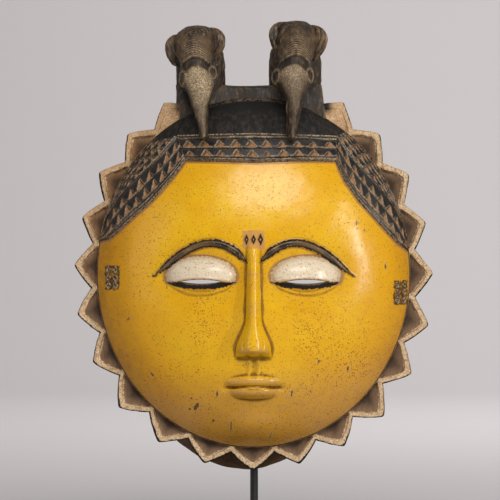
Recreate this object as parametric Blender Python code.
"""A carved and painted face mask, hollow behind, with two elephant heads on its crest, on a steel stand.

Local axes of the carving: u to the right, v up, d forward out of the face, from the middle of the face disc.
"""

import math

import bmesh
import bpy
import numpy as np

# Face disc and collar, in metres
FACE_HALF_WIDTH = 0.1412
FACE_RISE = 0.1585
FACE_DROP = 0.1565
FACE_DEPTH = 0.058
FACE_WALL = 0.014
SIDE_WALL = 0.018
COLLAR_THICKNESS = 0.009
COLLAR_GUTTER = 0.0047
TOOTH_COUNT = 24
TOOTH_LENGTH = 0.0156
LOWER_RIGHT_SPREAD = 0.0044
LOWER_LEFT_SPREAD = 0.0024
TOOTH_RIM = 0.0045
TOOTH_PIT_DEPTH = 0.0035
TOOTH_LEAN = math.radians(3.4)
TOOTH_LEAN_AT = math.radians(205.0)
TOOTHLESS_REACH = math.radians(24.0)

# Rear wall, an oval a little left of and below the disc
REAR_U = -0.0077
REAR_V = -0.0192
REAR_HALF_WIDTH = 0.1134
REAR_HALF_HEIGHT = 0.1588
REAR_DEPTH = 0.038
REAR_WALL = 0.014
REAR_ROOT_INSET = 0.006

# Hair band, which stands proud of the face above this line of (u, v) points
HAIR_RAISE = 0.0025
HAIR_STEP = 0.004
HAIR_BORDER = 0.005
HAIR_BORDER_RAISE = 0.0012
HAIRLINE = ((-0.1368, 0.0294), (-0.0604, 0.0990), (0.0729, 0.0992), (0.1412, 0.0200))
HEAD_TOP = 0.154

# Eye slits, which a wearer looks through
SLIT_LENGTH = 0.036
SLIT_HEIGHT = 0.0036

# Crest, whose plinth slopes back from the cap's upper edge to a ridge that carries both animals
PLINTH_U = 0.0
PLINTH_HALF_WIDTH = 0.066
PLINTH_LEAN = -0.0045
PLINTH_TOP = 0.1712
PLINTH_BOTTOM = 0.136
PLINTH_FRONT = 0.004
PLINTH_SETBACK = 0.008
PLINTH_BACK = -0.028
PLINTH_BEVEL = 0.003
EAR_D = 0.010
EAR_THICKNESS = 0.0085
EAR_FLARE = math.radians(24.0)
BODY_D = -0.006
BODY_HALF_DEPTH = 0.016
BODY_FOOT_D = -0.0135
BODY_FOOT_HALF_DEPTH = 0.0130
WEB_HALF_THICKNESS = 0.0028

# Stand
BASE_WIDTH = 0.180
BASE_DEPTH = 0.150
BASE_THICKNESS = 0.012
BASE_BEVEL = 0.0015
ROD_DIAMETER = 0.0072
ROD_U = 0.0006
ROD_SEAT_DEPTH = 0.008
ROD_BEND = 0.010
ARM_REACH = 0.036
CROSSBAR_LENGTH = 0.050
GAP = 0.0005
TIP_CLEARANCE = 0.060
MASK_BALANCE = 0.006

# Fineness of the facets
SAMPLES_A_TOOTH = 8
FACE_RINGS = 52
CAVITY_RINGS = 9
KEPT_SHARE = 0.21
BAR_SIDES = 12

TIP_DROP = FACE_DROP + COLLAR_GUTTER + TOOTH_LENGTH
MASK_V0 = BASE_THICKNESS + TIP_CLEARANCE + TIP_DROP


def clear_scene():
    for obj in list(bpy.data.objects):
        bpy.data.objects.remove(obj, do_unlink=True)


def material(name, colour, roughness, metallic=0.0):
    made = bpy.data.materials.new(name)
    made.use_nodes = True
    shader = made.node_tree.nodes["Principled BSDF"]
    shader.inputs["Base Color"].default_value = (*colour, 1.0)
    shader.inputs["Roughness"].default_value = roughness
    shader.inputs["Metallic"].default_value = metallic
    return made


def new_object(name, vertices, faces):
    mesh = bpy.data.meshes.new(name)
    mesh.from_pydata([tuple(point) for point in vertices], [], faces)
    mesh.validate()
    obj = bpy.data.objects.new(name, mesh)
    bpy.context.scene.collection.objects.link(obj)
    return obj


def as_cutter(obj):
    """A helper that only shapes another object."""
    obj.hide_render = True
    obj.display_type = "WIRE"
    return obj


def boolean(obj, other, operation):
    modifier = obj.modifiers.new(f"{operation.lower()} {other.name}", "BOOLEAN")
    modifier.operation = operation
    modifier.object = other
    modifier.solver = "EXACT"


def ramp(value, start, end):
    """0 below start, 1 above end, smooth between."""
    share = np.clip((value - start) / (end - start), 0.0, 1.0)
    return share * share * (3.0 - 2.0 * share)


def bump(across, along, power=0.6):
    """A rounded mound inside the ellipse where across and along reach 1."""
    return np.clip(1.0 - across**2 - along**2, 0.0, None) ** power


def mound(across, along):
    """A soft mound that fades away on every side."""
    return np.exp(-(across**2) - along**2)


# Proportions of the face: the head from chin to the top of the cap, and equal thirds below the hairline
HEAD_HEIGHT = HEAD_TOP + FACE_DROP
HAIRLINE_V = HAIRLINE[1][1]
FACE_THIRD = (HAIRLINE_V + FACE_DROP) / 3.0
BROW_V = HAIRLINE_V - FACE_THIRD
NOSE_BASE_V = BROW_V - FACE_THIRD
MOUTH_V = NOSE_BASE_V - FACE_THIRD / 3.0
EYE_V = HEAD_TOP - HEAD_HEIGHT / 2.0
EYE_WIDTH = HEAD_HEIGHT * 0.75 / 5.0
EYE_U = EYE_WIDTH
LID_HALF_WIDTH = EYE_WIDTH * 0.66
LID_HALF_HEIGHT = EYE_WIDTH * 0.37
SLIT_V = EYE_V - LID_HALF_HEIGHT * 0.30


def rise_or_drop(v):
    return np.where(v >= 0.0, FACE_RISE, FACE_DROP)


def dome(rho):
    """Depth of the plain face disc, flat in the middle and steep by the edge."""
    return FACE_DEPTH * np.clip(1.0 - rho**2.2, 0.0, None) ** 0.75


def cavity_dome(rho):
    return (FACE_DEPTH - FACE_WALL) * np.clip(1.0 - rho**2.2, 0.0, None) ** 0.75


def brow_line(side):
    """Height of the brow's middle line at a distance from the middle of the face."""
    share = np.clip((side - EYE_U * 0.12) / (EYE_U * 1.78), 0.0, 1.0)
    arch = FACE_THIRD * (0.26 * np.sin(math.pi * share**0.85) - 0.04 - 0.14 * share)
    return BROW_V + arch


def relief(u, v):
    """The face's carving, as a height over the plain disc."""
    side = np.abs(u)
    unit = EYE_WIDTH

    socket = -0.006 * mound((side - EYE_U) / (unit * 0.85), (v - EYE_V) / (unit * 0.55))
    lid = 0.0115 * bump((side - EYE_U) / LID_HALF_WIDTH, (v - EYE_V) / LID_HALF_HEIGHT, 0.8)

    brow_reach = ramp(side, EYE_U * 0.05, EYE_U * 0.2) * (1.0 - ramp(side, EYE_U * 1.8, EYE_U * 1.95))
    brow = 0.0035 * brow_reach * np.clip(1.0 - ((v - brow_line(side)) / 0.0045) ** 2, 0.0, None)

    down = np.clip((BROW_V - v) / (BROW_V - NOSE_BASE_V), 0.0, 1.0)
    nose_half = unit * (0.13 + 0.05 * down + 0.17 * ramp(down, 0.62, 0.95))
    nose_height = 0.006 + 0.012 * down + 0.003 * ramp(down, 0.6, 0.95)
    nose_foot = ramp(v, NOSE_BASE_V - 0.004, NOSE_BASE_V + 0.004)
    nose_root = 1.0 - ramp(v, BROW_V - 0.002, BROW_V + 0.022)
    nose = nose_height * nose_foot * nose_root * bump(side / nose_half, 0.0, 0.7)

    mouth_half = unit * 0.52
    lips = 0.0065 * bump(side / mouth_half, (v - MOUTH_V) / (unit * 0.22))
    parting = -0.004 * mound(0.0, (v - MOUTH_V) / 0.0018) * (1.0 - ramp(side, mouth_half * 0.8, mouth_half))
    muzzle = 0.005 * mound(side / (unit * 0.8), (v - MOUTH_V) / (unit * 0.6))
    chin = 0.005 * mound(side / (unit * 0.55), (v + FACE_DROP * 0.88) / (unit * 0.3))

    return socket + lid + brow + nose + lips + parting + muzzle + chin


def hair(u, v):
    """The raised hair band, with a border strip along its straight lower edge."""
    line_u, line_v = np.array(HAIRLINE).T
    over = v - np.interp(u, line_u, line_v)
    band = HAIR_RAISE * ramp(over, 0.0, HAIR_STEP)
    straight = ramp(u, line_u[1] - 0.002, line_u[1]) * (1.0 - ramp(u, line_u[2], line_u[2] + 0.002))
    strip = ramp(over, 0.0, 0.002) * (1.0 - ramp(over, HAIR_BORDER, HAIR_BORDER + 0.001))
    return band + HAIR_BORDER_RAISE * straight * strip


def front(u, v):
    rho = np.hypot(u / FACE_HALF_WIDTH, v / rise_or_drop(v))
    fade = 1.0 - ramp(rho, 0.93, 1.0)
    return dome(rho) + (relief(u, v) + hair(u, v)) * fade


def ring_angles():
    """Angles of the samples, which start on the lowest tooth. The teeth lean up a little on the left side."""
    count = TOOTH_COUNT * SAMPLES_A_TOOTH
    even = 2 * math.pi * np.arange(count) / count - math.pi / 2
    return even - TOOTH_LEAN * np.clip(np.cos(even - TOOTH_LEAN_AT), 0.0, None) ** 3


def tooth_wave():
    """1 on each tip and 0 in each valley, with no teeth where the crest stands."""
    phase = np.arange(TOOTH_COUNT * SAMPLES_A_TOOTH) % SAMPLES_A_TOOTH / SAMPLES_A_TOOTH
    under_crest = np.sin(ring_angles()) > math.cos(TOOTHLESS_REACH)
    return np.where(under_crest, 0.0, np.abs(1.0 - 2.0 * phase))


def tooth_length(angles):
    """The teeth grow longer down both sides, towards the middle of each lower quarter."""
    spread = np.where(np.cos(angles) > 0.0, LOWER_RIGHT_SPREAD, LOWER_LEFT_SPREAD)
    return TOOTH_LENGTH + np.where(np.sin(angles) < 0.0, spread * np.sin(2.0 * angles) ** 2, 0.0)


def disc_ring(angles, outset, depth):
    """A ring of points that lies outset outside the face disc's edge."""
    u = (FACE_HALF_WIDTH + outset) * np.cos(angles)
    v = (np.where(np.sin(angles) >= 0.0, FACE_RISE, FACE_DROP) + outset) * np.sin(angles)
    return np.column_stack([u, np.broadcast_to(-depth, u.shape), v])


def rear_ring(angles, inset, depth):
    u = REAR_U + (REAR_HALF_WIDTH - inset) * np.cos(angles)
    v = REAR_V + (REAR_HALF_HEIGHT - inset) * np.sin(angles)
    return np.column_stack([u, np.full_like(u, -depth), v])


def cavity_ring(angles, share):
    u = share * (FACE_HALF_WIDTH - SIDE_WALL) * np.cos(angles)
    v = share * (np.where(np.sin(angles) >= 0.0, FACE_RISE, FACE_DROP) - SIDE_WALL) * np.sin(angles)
    return np.column_stack([u, np.full_like(u, -float(cavity_dome(share))), v])


CAVITY_EDGE = 0.9


def mask_rings():
    """The rings of the carving, from the middle of the face outwards, round the back and into the hollow."""
    angles = ring_angles()
    wave = tooth_wave()
    rings = []
    for step in range(1, FACE_RINGS + 1):
        share = step / FACE_RINGS
        ring = disc_ring(angles, 0.0, 0.0) * share
        ring[:, 1] = -front(ring[:, 0], ring[:, 2])
        rings.append(ring)

    pitch = 2 * math.pi * FACE_HALF_WIDTH / TOOTH_COUNT
    rim_reach = TOOTH_RIM * math.hypot(1.0, 2 * TOOTH_LENGTH / pitch)
    outline = COLLAR_GUTTER + tooth_length(angles) * wave
    pit_apex = np.clip(outline - rim_reach, 0.0008, None)
    pit = ramp(pit_apex, 0.0008, 0.003)
    pit_end = COLLAR_GUTTER + TOOTH_LENGTH - rim_reach
    apex_depth = TOOTH_PIT_DEPTH * (1.0 - 0.7 * pit_apex / pit_end)
    rings.append(disc_ring(angles, 0.0004, -TOOTH_PIT_DEPTH * pit))
    rings.append(disc_ring(angles, pit_apex - 0.0002, -apex_depth * pit))
    rings.append(disc_ring(angles, pit_apex + 0.0004, np.zeros_like(wave)))
    rings.append(disc_ring(angles, outline, np.zeros_like(wave)))
    rings.append(disc_ring(angles, outline, np.full_like(wave, -COLLAR_THICKNESS)))

    root = disc_ring(angles, -REAR_ROOT_INSET, np.full_like(wave, -COLLAR_THICKNESS))
    rim = rear_ring(angles, 0.0, -REAR_DEPTH)
    root[:, 0] = (root[:, 0] + rim[:, 0]) / 2.0
    rings += [root, rim, rear_ring(angles, REAR_WALL, -REAR_DEPTH)]
    for step in range(CAVITY_RINGS, 0, -1):
        rings.append(cavity_ring(angles, CAVITY_EDGE * step / CAVITY_RINGS))
    return rings


def band(near, far, count):
    """The quads between two closed rings of points, by the number of each ring's first point."""
    return [(near + j, far + j, far + (j + 1) % count, near + (j + 1) % count) for j in range(count)]


def mask_body():
    rings = mask_rings()
    count = len(rings[0])
    poles = [[0.0, -float(front(0.0, 0.0)), 0.0], [0.0, -float(cavity_dome(0.0)), 0.0]]
    points = np.concatenate(rings + [poles])
    face_pole = len(points) - 2
    cavity_pole = len(points) - 1
    last = (len(rings) - 1) * count
    faces = [(face_pole, j, (j + 1) % count) for j in range(count)]
    faces += [(last + (j + 1) % count, last + j, cavity_pole) for j in range(count)]
    for ring in range(len(rings) - 1):
        near = ring * count
        far = near + count
        faces += band(near, far, count)
    obj = new_object("mask", points, faces)
    decimate = obj.modifiers.new("fewer facets", "DECIMATE")
    decimate.ratio = KEPT_SHARE
    return obj


def loft(name, sections, sides=14):
    """A closed form through elliptical sections (u, v, d, half width, half depth), from its top down."""
    points = [(sections[0][0], -sections[0][2], sections[0][1])]
    for u, v, d, half_width, half_depth in sections[1:-1]:
        for j in range(sides):
            turn = 2 * math.pi * j / sides
            points.append((u + half_width * math.cos(turn), -d - half_depth * math.sin(turn), v))
    points.append((sections[-1][0], -sections[-1][2], sections[-1][1]))
    rows = len(sections) - 2
    faces = [(0, 1 + (j + 1) % sides, 1 + j) for j in range(sides)]
    for row in range(rows - 1):
        near = 1 + row * sides
        far = near + sides
        faces += band(near, far, sides)
    near = 1 + (rows - 1) * sides
    faces += [(near + j, near + (j + 1) % sides, len(points) - 1) for j in range(sides)]
    obj = new_object(name, points, faces)
    outward(obj)
    return obj


def outward(obj):
    shape = bmesh.new()
    shape.from_mesh(obj.data)
    bmesh.ops.recalc_face_normals(shape, faces=shape.faces)
    shape.to_mesh(obj.data)
    shape.free()


def block(name, low, high, bevel=0.0):
    """A box between two corners (u, v, d)."""
    shape = bmesh.new()
    bmesh.ops.create_cube(shape, size=1.0)
    for vertex in shape.verts:
        share = vertex.co + type(vertex.co)((0.5, 0.5, 0.5))
        vertex.co = (
            low[0] + (high[0] - low[0]) * share.x,
            -(low[2] + (high[2] - low[2]) * (1.0 - share.y)),
            low[1] + (high[1] - low[1]) * share.z,
        )
    if bevel:
        bmesh.ops.bevel(shape, geom=list(shape.edges), offset=bevel, segments=2, affect="EDGES")
    bmesh.ops.recalc_face_normals(shape, faces=shape.faces)
    mesh = bpy.data.meshes.new(name)
    shape.to_mesh(mesh)
    shape.free()
    obj = bpy.data.objects.new(name, mesh)
    bpy.context.scene.collection.objects.link(obj)
    return obj


def ear(name, u, v, half_width, half_height, out):
    """A flat leaf-shaped ear that flares forwards on its outer side."""
    shape = bmesh.new()
    bmesh.ops.create_uvsphere(shape, u_segments=12, v_segments=8, radius=1.0)
    flare = EAR_FLARE * out
    for vertex in shape.verts:
        across = vertex.co.x * half_width * (1.0 + 0.2 * vertex.co.z)
        through = vertex.co.y * EAR_THICKNESS
        x = across * math.cos(flare) - through * math.sin(flare)
        y = across * -math.sin(flare) + through * math.cos(flare)
        vertex.co = (u + x, -EAR_D + y, v + vertex.co.z * half_height)
    bmesh.ops.recalc_face_normals(shape, faces=shape.faces)
    mesh = bpy.data.meshes.new(name)
    shape.to_mesh(mesh)
    shape.free()
    obj = bpy.data.objects.new(name, mesh)
    bpy.context.scene.collection.objects.link(obj)
    return obj


# Each animal's head and trunk from the crown down: v, u, half width, middle depth, half depth
LEFT_HEAD = (
    (0.2237, -0.0506, 0.0, 0.006, 0.0),
    (0.2220, -0.0506, 0.0080, 0.006, 0.010),
    (0.2165, -0.0508, 0.0135, 0.007, 0.017),
    (0.2080, -0.0518, 0.0160, 0.009, 0.021),
    (0.1970, -0.0525, 0.0158, 0.011, 0.022),
    (0.1860, -0.0513, 0.0142, 0.015, 0.021),
    (0.1760, -0.0495, 0.0162, 0.019, 0.020),
    (0.1700, -0.0485, 0.0150, 0.023, 0.018),
    (0.1620, -0.0470, 0.0115, 0.029, 0.013),
    (0.1512, -0.0475, 0.0080, 0.033, 0.010),
    (0.1395, -0.0460, 0.0055, 0.036, 0.008),
    (0.1290, -0.0445, 0.0042, 0.0385, 0.007),
    (0.1215, -0.0440, 0.0034, 0.0405, 0.006),
    (0.1192, -0.0440, 0.0, 0.0405, 0.0),
)
RIGHT_HEAD = (
    (0.2278, 0.0383, 0.0, 0.006, 0.0),
    (0.2262, 0.0383, 0.0080, 0.006, 0.010),
    (0.2205, 0.0383, 0.0138, 0.007, 0.017),
    (0.2110, 0.0385, 0.0162, 0.009, 0.021),
    (0.2000, 0.0385, 0.0158, 0.011, 0.022),
    (0.1900, 0.0372, 0.0140, 0.015, 0.021),
    (0.1810, 0.0352, 0.0164, 0.019, 0.020),
    (0.1710, 0.0352, 0.0150, 0.023, 0.018),
    (0.1602, 0.0363, 0.0092, 0.029, 0.013),
    (0.1476, 0.0365, 0.0063, 0.033, 0.010),
    (0.1323, 0.0350, 0.0044, 0.0375, 0.008),
    (0.1220, 0.0340, 0.0034, 0.0405, 0.006),
    (0.1192, 0.0340, 0.0, 0.0405, 0.0),
)

# Ears of both animals: u, v, half width, half height, side
EARS = (
    ("left_outer_ear", -0.0672, 0.2005, 0.0125, 0.0150, -1.0),
    ("left_inner_ear", -0.0380, 0.2065, 0.0135, 0.0150, 1.0),
    ("right_inner_ear", 0.0262, 0.2110, 0.0130, 0.0160, -1.0),
    ("right_outer_ear", 0.0520, 0.2075, 0.0150, 0.0165, 1.0),
)

# Bodies behind the heads: u, half width at the foot, half width at the shoulders, rise over the plinth
BODIES = (
    ("left_body", -0.0475, 0.0222, 0.0222, 0.0288),
    ("right_body", 0.0375, 0.0232, 0.0237, 0.0318),
)


def animal_body(name, u, foot, shoulder, rise):
    top = PLINTH_TOP + rise
    foot_v = PLINTH_TOP - 0.008
    return loft(
        name,
        (
            (u, top + 0.010, BODY_D, 0.0, 0.0),
            (u, top + 0.006, BODY_D, shoulder * 0.6, BODY_HALF_DEPTH * 0.6),
            (u, top, BODY_D, shoulder * 0.92, BODY_HALF_DEPTH * 0.9),
            (u, top - 0.012, BODY_D, shoulder, BODY_HALF_DEPTH),
            (u, PLINTH_TOP + 0.002, BODY_D - 0.005, (foot + shoulder) / 2, BODY_HALF_DEPTH * 0.9),
            (u, foot_v, BODY_FOOT_D, foot, BODY_FOOT_HALF_DEPTH),
            (u, foot_v - 0.004, BODY_FOOT_D, 0.0, 0.0),
        ),
    )


def crest():
    """The plinth on the cap with the two animals, as one form."""
    plinth = block(
        "crest",
        (PLINTH_U - PLINTH_HALF_WIDTH, PLINTH_BOTTOM, PLINTH_BACK),
        (PLINTH_U + PLINTH_HALF_WIDTH, PLINTH_TOP, PLINTH_FRONT),
        PLINTH_BEVEL,
    )
    for vertex in plinth.data.vertices:
        above = (vertex.co.z - PLINTH_BOTTOM) / (PLINTH_TOP - PLINTH_BOTTOM)
        forward = (-vertex.co.y - PLINTH_BACK) / (PLINTH_FRONT - PLINTH_BACK)
        vertex.co.y += PLINTH_SETBACK * above * forward
        vertex.co.x += PLINTH_LEAN * above
    parts = [animal_body(*body) for body in BODIES]
    for name, rows in (("left_head", LEFT_HEAD), ("right_head", RIGHT_HEAD)):
        sections = [(u, v, d, half_width, half_depth) for v, u, half_width, d, half_depth in rows]
        parts.append(loft(name, sections))
        tip_u, tip_v, tip_d = sections[-2][:3]
        left = tip_u - WEB_HALF_THICKNESS * 1.7
        low = (left, tip_v + 0.002, 0.0)
        high = (left + 2 * WEB_HALF_THICKNESS, PLINTH_TOP - 0.004, tip_d - 0.004)
        parts.append(block(f"{name}_web", low, high))
    parts += [ear(*one) for one in EARS]
    for part in parts:
        boolean(plinth, as_cutter(part), "UNION")
    return as_cutter(plinth)


def eye_slit(name, side):
    """A narrow lens that runs right through the lid and the wall behind it."""
    count = 12
    edge = []
    for j in range(count + 1):
        share = -1.0 + 2.0 * j / count
        edge.append((share * SLIT_LENGTH / 2, SLIT_HEIGHT / 2 * (1.0 - share**2)))
    outline = edge + [(x, -z) for x, z in reversed(edge[1:-1])]
    points = []
    for depth in (0.0, FACE_DEPTH + 0.04):
        points += [(side * EYE_U + x, -depth, SLIT_V + z) for x, z in outline]
    total = len(outline)
    faces = [tuple(range(total)), tuple(range(2 * total - 1, total - 1, -1))]
    faces += band(0, total, total)
    obj = new_object(name, points, faces)
    outward(obj)
    return as_cutter(obj)


def round_bar(name, path, radius):
    """A round steel bar along a path of points, with a flat end at each end."""
    path = np.array(path, float)
    rings = []
    for index, point in enumerate(path):
        ahead = path[min(index + 1, len(path) - 1)] - path[max(index - 1, 0)]
        ahead /= np.linalg.norm(ahead)
        level = np.array([1.0, 0.0, 0.0]) if abs(ahead[0]) < 0.9 else np.array([0.0, 1.0, 0.0])
        other = np.cross(ahead, level)
        other /= np.linalg.norm(other)
        level = np.cross(other, ahead)
        turns = 2 * math.pi * np.arange(BAR_SIDES) / BAR_SIDES
        rings.append(point + radius * (np.outer(np.cos(turns), level) + np.outer(np.sin(turns), other)))
    last = (len(path) - 1) * BAR_SIDES
    faces = [tuple(range(BAR_SIDES)), tuple(range(last, last + BAR_SIDES))]
    for row in range(len(path) - 1):
        faces += band(row * BAR_SIDES, (row + 1) * BAR_SIDES, BAR_SIDES)
    obj = new_object(name, np.concatenate(rings), faces)
    outward(obj)
    return obj


def ceiling_height(depth, from_u, to_u):
    """Lowest height of the hollow's ceiling at a depth, over a stretch of u."""
    angles = ring_angles()
    inner = cavity_ring(angles, CAVITY_EDGE)
    rim = rear_ring(angles, REAR_WALL, -REAR_DEPTH)
    inner_depth = -inner[0, 1]
    share = (inner_depth - depth) / (inner_depth + REAR_DEPTH)
    line = inner + (rim - inner) * share
    order = np.argsort(line[:, 0])
    upper = line[order][line[order][:, 2] > 0.0]
    stretch = np.linspace(from_u, to_u, 21)
    return float(np.interp(stretch, upper[:, 0], upper[:, 2]).min())


def stand_rod(mask_y):
    """An upright behind the rear rim, with an arm into the hollow and a crossbar that carries the mask."""
    radius = ROD_DIAMETER / 2
    upright_d = -REAR_DEPTH - GAP - radius
    bar_d = upright_d + ARM_REACH
    half = CROSSBAR_LENGTH / 2
    bar_v = ceiling_height(bar_d, ROD_U - half, ROD_U + half) - radius - GAP
    rim_v = ceiling_height(-REAR_DEPTH, ROD_U - radius, ROD_U + radius) - radius - GAP
    top_v = min(bar_v, rim_v)
    foot = BASE_THICKNESS - ROD_SEAT_DEPTH + GAP

    path = [(ROD_U, mask_y - upright_d, foot), (ROD_U, mask_y - upright_d, MASK_V0 + top_v - ROD_BEND)]
    for step in range(1, 7):
        turn = math.radians(15.0 * step)
        path.append(
            (
                ROD_U,
                mask_y - upright_d - ROD_BEND * (1.0 - math.cos(turn)),
                MASK_V0 + top_v - ROD_BEND * (1.0 - math.sin(turn)),
            )
        )
    path.append((ROD_U, mask_y - bar_d, MASK_V0 + top_v))
    rod = round_bar("stand_rod", path, radius)
    y = mask_y - bar_d
    z = MASK_V0 + top_v
    ends = [(ROD_U - half, y, z), (ROD_U + half, y, z)]
    crossbar = round_bar("crossbar", ends, radius * 0.98)
    boolean(rod, as_cutter(crossbar), "UNION")
    return rod


def stand_base(mask_y):
    half_width = BASE_WIDTH / 2
    half_depth = BASE_DEPTH / 2
    low = (-half_width, 0.0, -half_depth)
    high = (half_width, BASE_THICKNESS, half_depth)
    base = block("stand_base", low, high, BASE_BEVEL)
    rod_y = mask_y + REAR_DEPTH + GAP + ROD_DIAMETER / 2
    seat = [(ROD_U, rod_y, BASE_THICKNESS - ROD_SEAT_DEPTH), (ROD_U, rod_y, BASE_THICKNESS + 0.01)]
    cutter = round_bar("rod_seat", seat, ROD_DIAMETER / 2 + GAP)
    boolean(base, as_cutter(cutter), "DIFFERENCE")
    return base


def build():
    clear_scene()
    mask_y = MASK_BALANCE
    carving = [mask_body()]
    top = crest()
    boolean(carving[0], top, "UNION")
    slits = [eye_slit("left_slit", -1.0), eye_slit("right_slit", 1.0)]
    for slit in slits:
        boolean(carving[0], slit, "DIFFERENCE")
    helpers = [modifier.object for modifier in top.modifiers]
    for obj in carving + [top] + slits + helpers:
        obj.location = (0.0, mask_y, MASK_V0)
    carving[0].data.materials.append(material("painted wood", (0.55, 0.33, 0.07), 0.6))
    rod = stand_rod(mask_y)
    rod.data.materials.append(material("black rod steel", (0.02, 0.02, 0.02), 0.45, 0.6))
    base = stand_base(mask_y)
    base.data.materials.append(material("black plate steel", (0.02, 0.02, 0.02), 0.5, 0.6))


build()
